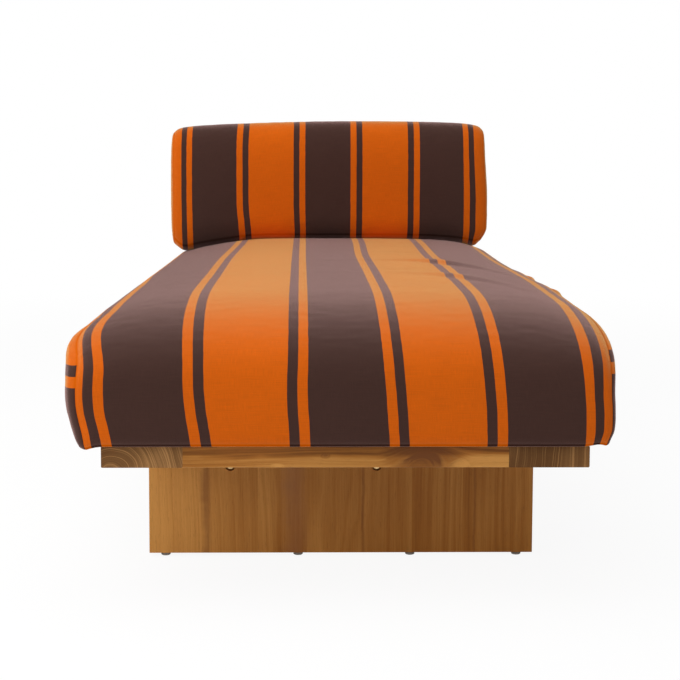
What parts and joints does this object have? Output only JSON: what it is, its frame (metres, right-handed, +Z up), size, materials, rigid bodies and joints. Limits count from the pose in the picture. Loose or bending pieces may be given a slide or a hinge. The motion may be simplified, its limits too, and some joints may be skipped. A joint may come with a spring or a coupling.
{
  "type": "chaise longue",
  "caption": "Chaise longue: slatted wooden platform on panel legs, with a loose striped mattress and a loose back cushion.",
  "frame": {"origin": "on the floor, below the middle of the whole object's box", "axes": "+Z up, +Y towards the head end with the back cushion, +X to the right as seen from the foot end"},
  "size_m": [0.8278, 2.0024, 0.7486],
  "materials": {
    "teak": "oiled teak, fine open grain, satin",
    "brass": "turned brass, slightly dulled",
    "steel": "zinc plated steel",
    "glide_plastic": "moulded grey-brown plastic",
    "striped_canvas": "woven outdoor canvas with orange and dark brown stripes",
    "foam": "foam block in a soft polyester wrap",
    "zip_tape": "woven tape with coil teeth",
    "zip_metal": "dark lacquered zip metal"
  },
  "bodies": {
    "platform": {"left_side_board": "teak", "right_side_board": "teak", "front_cross_rail": "teak", "rear_cross_rail": "teak", "left_ledger": "teak", "right_ledger": "teak", "slat_01": "teak", "slat_02": "teak", "slat_03": "teak", "slat_04": "teak", "slat_05": "teak", "slat_06": "teak", "slat_07": "teak", "slat_08": "teak", "slat_09": "teak", "slat_10": "teak", "slat_11": "teak", "slat_12": "teak", "slat_13": "teak", "slat_14": "teak", "slat_screws": "steel", "ledger_screws": "steel", "front_leg_panel": "teak", "rear_leg_panel": "teak", "front_leg_cleat": "teak", "rear_leg_cleat": "teak", "front_leg_bolts": "brass", "rear_leg_bolts": "brass", "front_leg_nuts": "steel", "rear_leg_nuts": "steel", "front_cleat_screws": "steel", "rear_cleat_screws": "steel", "front_glides": "glide_plastic", "rear_glides": "glide_plastic"},
    "mattress": {"mattress_core": "foam", "mattress_cover_strip": "striped_canvas", "mattress_cover_base": "striped_canvas", "mattress_cover_left": "striped_canvas", "mattress_cover_right": "striped_canvas", "mattress_zip": "zip_tape"},
    "mattress_zip_slider": {"mattress_zip_slider": "zip_metal"},
    "mattress_zip_pull": {"mattress_zip_pull": "zip_metal"},
    "back_cushion": {"cushion_core": "foam", "cushion_cover_strip": "striped_canvas", "cushion_cover_base": "striped_canvas", "cushion_cover_left": "striped_canvas", "cushion_cover_right": "striped_canvas", "cushion_zip": "zip_tape"},
    "cushion_zip_slider": {"cushion_zip_slider": "zip_metal"},
    "cushion_zip_pull": {"cushion_zip_pull": "zip_metal"}
  },
  "joints": [
    {"name": "mattress_lift", "type": "slide", "parent": "platform", "child": "mattress", "axis": [0, 0, 1], "range_m": [0, 0.3]},
    {"name": "cushion_lift", "type": "slide", "parent": "mattress", "child": "back_cushion", "axis": [0, 0, 1], "range_m": [0, 0.3]},
    {"name": "mattress_zip_run", "type": "slide", "parent": "mattress", "child": "mattress_zip_slider", "axis": [-1, 0, 0], "range_m": [0, 0.5984]},
    {"name": "mattress_pull_swing", "type": "hinge", "parent": "mattress_zip_slider", "child": "mattress_zip_pull", "pos_m": [0.2992, 0.9992, 0.3218], "axis": [0, 0, -1], "range_deg": [0, 165]},
    {"name": "cushion_zip_run", "type": "slide", "parent": "back_cushion", "child": "cushion_zip_slider", "axis": [-1, 0, 0], "range_m": [0, 0.5984]},
    {"name": "cushion_pull_swing", "type": "hinge", "parent": "cushion_zip_slider", "child": "cushion_zip_pull", "pos_m": [0.2992, 0.9702, 0.5186], "axis": [0, 0, -1], "range_deg": [0, 165]}
  ]
}
